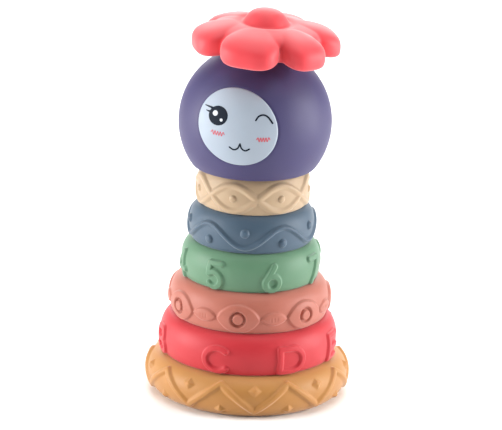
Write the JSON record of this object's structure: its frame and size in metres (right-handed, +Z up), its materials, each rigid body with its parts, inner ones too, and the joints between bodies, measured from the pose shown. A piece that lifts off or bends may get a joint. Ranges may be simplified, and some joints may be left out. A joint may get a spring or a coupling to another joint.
{
  "type": "stacking cup tower",
  "caption": "Soft stacking toy: round cup rings of shrinking size with raised patterns, a ball head with an inlaid face and a flower hat on top.",
  "frame": {"origin": "on the floor, at the centre of the base ring's foot", "axes": "+Z up along the tower's axis, -Y the way the face looks"},
  "size_m": [0.096, 0.096, 0.1862],
  "materials": {
    "base_orange": "soft matt silicone",
    "ring_red": "soft matt silicone",
    "ring_pink": "soft matt silicone",
    "ring_green": "soft matt silicone",
    "ring_blue": "soft matt silicone",
    "ring_cream": "soft matt silicone",
    "head_purple": "soft matt silicone",
    "face_white": "soft matt silicone",
    "hat_coral": "soft matt silicone"
  },
  "bodies": {
    "base": {"base_ring": "base_orange"},
    "red": {"red_ring": "ring_red"},
    "pink": {"pink_ring": "ring_pink"},
    "green": {"green_ring": "ring_green"},
    "blue": {"blue_ring": "ring_blue"},
    "cream": {"cream_ring": "ring_cream"},
    "head": {"head_shell": "head_purple", "face_inlay": "face_white"},
    "hat": {"flower_hat": "hat_coral"}
  },
  "joints": [
    {"name": "red_lift", "type": "slide", "parent": "base", "child": "red", "axis": [0, 0, 1], "range_m": [0, 0.03]},
    {"name": "pink_lift", "type": "slide", "parent": "red", "child": "pink", "axis": [0, 0, 1], "range_m": [0, 0.03]},
    {"name": "green_lift", "type": "slide", "parent": "pink", "child": "green", "axis": [0, 0, 1], "range_m": [0, 0.03]},
    {"name": "blue_lift", "type": "slide", "parent": "green", "child": "blue", "axis": [0, 0, 1], "range_m": [0, 0.03]},
    {"name": "cream_lift", "type": "slide", "parent": "blue", "child": "cream", "axis": [0, 0, 1], "range_m": [0, 0.03]},
    {"name": "head_lift", "type": "slide", "parent": "cream", "child": "head", "axis": [0, 0, 1], "range_m": [0, 0.03]},
    {"name": "hat_lift", "type": "slide", "parent": "head", "child": "hat", "axis": [0, 0, 1], "range_m": [0, 0.03]}
  ]
}
